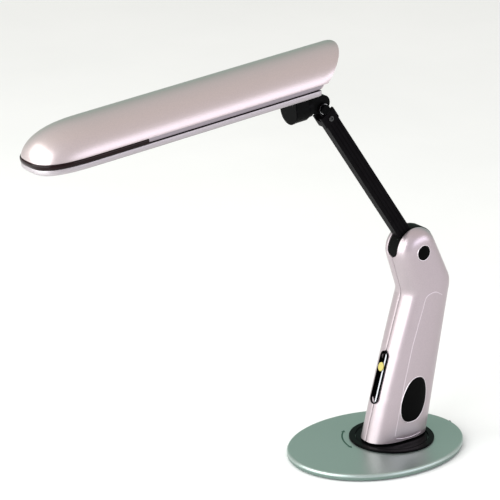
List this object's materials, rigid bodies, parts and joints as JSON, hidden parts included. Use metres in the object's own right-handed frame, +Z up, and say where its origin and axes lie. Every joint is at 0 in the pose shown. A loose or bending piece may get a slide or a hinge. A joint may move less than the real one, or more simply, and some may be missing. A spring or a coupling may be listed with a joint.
{
  "type": "desk lamp",
  "caption": "Fluorescent desk lamp: long half-round head on a tilting arm, leaning swivel stand with slide dimmer, oval weighted base.",
  "frame": {"origin": "where the swivel axis meets the desk, on the underside of the base mat", "axes": "+Z up, lamp head points to -X, Y across the lamp"},
  "size_m": [0.5662, 0.174, 0.4996],
  "materials": {
    "silver_paint": "satin metallic paint",
    "base_paint": "satin metallic paint",
    "black_plastic": "fine moulded satin",
    "black_gloss": "polished",
    "smoked_plastic": "polished dark smoked",
    "black_rubber": "matt",
    "steel": "turned",
    "zinc_steel": "zinc plated",
    "cast_weight": "raw",
    "black_aluminium": "black anodised extrusion",
    "yellow_plastic": "polished",
    "pale_plastic": "polished",
    "white_plastic": "moulded",
    "nylon": "natural",
    "board": "phenolic circuit board",
    "wound_core": "varnished",
    "capacitor_sleeve": "shrunk sleeve",
    "raw_aluminium": "raw",
    "mirror_sheet": "polished sheet",
    "lamp_glass": "phosphor coated",
    "prismatic_cover": "clear ribbed acrylic"
  },
  "bodies": {
    "base": {"base_cover": "base_paint", "bottom_plate": "black_plastic", "base_weight": "cast_weight", "base_mat": "black_rubber", "base_screws": "zinc_steel", "cord_gland": "black_rubber", "swivel_collar": "black_gloss", "swivel_bush": "nylon"},
    "stand": {"housing_left": "silver_paint", "housing_right": "silver_paint", "housing_screws": "zinc_steel", "turntable": "black_gloss", "swivel_spindle": "steel", "swivel_washer": "steel", "swivel_nut": "zinc_steel", "side_pad_left": "black_rubber", "side_pad_right": "black_rubber", "pivot_cap_left": "black_gloss", "pivot_cap_right": "black_gloss", "pivot_bolt": "steel", "pivot_nut": "zinc_steel", "arm_washers": "nylon", "dimmer_bezel": "black_gloss", "dimmer_strip": "pale_plastic", "dimmer_track": "steel", "ballast_board": "board", "ballast_transformer": "wound_core", "ballast_capacitors": "capacitor_sleeve", "heat_sink": "raw_aluminium"},
    "dimmer": {"dimmer_knob": "yellow_plastic"},
    "arm": {"arm_hub": "black_plastic", "arm_bar": "black_aluminium", "arm_fork": "black_plastic", "fork_screw": "zinc_steel", "tilt_bolt": "steel", "tilt_washer": "steel", "tilt_knob": "black_gloss"},
    "knuckle": {"tilt_knuckle": "black_plastic", "roll_ring": "black_gloss", "roll_screw": "zinc_steel"},
    "head": {"head_bracket": "black_plastic", "bracket_cap": "black_gloss", "bracket_screws": "zinc_steel", "upper_shell": "silver_paint", "nose_band": "smoked_plastic", "lower_tray": "silver_paint", "head_screws": "zinc_steel", "light_cover": "prismatic_cover", "reflector": "mirror_sheet", "lamp_tubes": "lamp_glass", "lamp_base": "white_plastic", "lamp_holder": "white_plastic", "lamp_clip": "steel"}
  },
  "joints": [
    {"name": "base_swivel", "type": "hinge", "parent": "base", "child": "stand", "pos_m": [0, 0, 0.009], "axis": [0, 0, 1], "range_deg": [-90, 90]},
    {"name": "arm_pivot", "type": "hinge", "parent": "stand", "child": "arm", "pos_m": [0.0233, 0, 0.2379], "axis": [0, -1, 0], "range_deg": [-60, 40]},
    {"name": "head_tilt", "type": "hinge", "parent": "arm", "child": "knuckle", "pos_m": [-0.1077, 0, 0.4263], "axis": [0, 1, 0], "range_deg": [-40, 60]},
    {"name": "head_roll", "type": "hinge", "parent": "knuckle", "child": "head", "pos_m": [-0.112, 0, 0.4325], "axis": [0.9958, 0, 0.0917], "range_deg": [-45, 45]},
    {"name": "dimmer_slide", "type": "slide", "parent": "stand", "child": "dimmer", "axis": [0.267, 0, 0.9637], "range_m": [-0.036, 0.01]}
  ]
}
